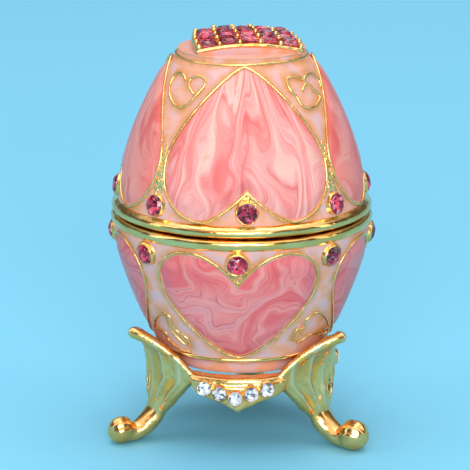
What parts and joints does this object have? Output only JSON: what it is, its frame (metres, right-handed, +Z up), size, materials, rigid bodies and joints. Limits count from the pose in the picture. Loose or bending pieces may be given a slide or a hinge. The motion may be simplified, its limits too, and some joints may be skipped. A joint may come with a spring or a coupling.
{
  "type": "egg-shaped trinket box with stand",
  "caption": "Enamelled egg-shaped trinket box with hearts and pink rhinestones, its lid lifting off a cup that rests in a gilt stand on ball feet.",
  "frame": {"origin": "centre of the object's box on the surface it stands on, 0.7 mm behind the egg's upright axis", "axes": "+Z up along the egg's axis, -Y towards the front, where a plaque of the stand faces between two legs"},
  "size_m": [0.0426, 0.0442, 0.0636],
  "materials": {
    "gold": "polished gold plating over cast zinc alloy",
    "enamel": "glossy pearl enamel in pink and peach over cast zinc alloy, with gilt rims and wires",
    "pink_stone": "foil-backed pink rhinestone",
    "clear_stone": "foil-backed clear rhinestone"
  },
  "bodies": {
    "root": {"stand": "gold", "cup": "enamel", "lid": "enamel", "lid_stone_1": "pink_stone", "cup_stone_1": "pink_stone", "lid_stone_2": "pink_stone", "cup_stone_2": "pink_stone", "lid_stone_3": "pink_stone", "cup_stone_3": "pink_stone", "lid_stone_4": "pink_stone", "cup_stone_4": "pink_stone", "lid_stone_5": "pink_stone", "cup_stone_5": "pink_stone", "lid_stone_6": "pink_stone", "cup_stone_6": "pink_stone", "lid_stone_7": "pink_stone", "cup_stone_7": "pink_stone", "lid_stone_8": "pink_stone", "cup_stone_8": "pink_stone", "crown_stone_01": "pink_stone", "crown_stone_02": "pink_stone", "crown_stone_03": "pink_stone", "crown_stone_04": "pink_stone", "crown_stone_05": "pink_stone", "crown_stone_06": "pink_stone", "crown_stone_07": "pink_stone", "crown_stone_08": "pink_stone", "crown_stone_09": "pink_stone", "crown_stone_10": "pink_stone", "crown_stone_11": "pink_stone", "crown_stone_12": "pink_stone", "crown_stone_13": "pink_stone", "crown_stone_14": "pink_stone", "crown_stone_15": "pink_stone", "crown_stone_16": "pink_stone", "crown_stone_17": "pink_stone", "crown_stone_18": "pink_stone", "crown_stone_19": "pink_stone", "crown_stone_20": "pink_stone", "clear_stone_01": "clear_stone", "clear_stone_02": "clear_stone", "clear_stone_03": "clear_stone", "clear_stone_04": "clear_stone", "clear_stone_05": "clear_stone", "clear_stone_06": "clear_stone", "clear_stone_07": "clear_stone", "clear_stone_08": "clear_stone", "clear_stone_09": "clear_stone", "clear_stone_10": "clear_stone", "clear_stone_11": "clear_stone", "clear_stone_12": "clear_stone", "clear_stone_13": "clear_stone", "clear_stone_14": "clear_stone", "clear_stone_15": "clear_stone"}
  },
  "joints": []
}
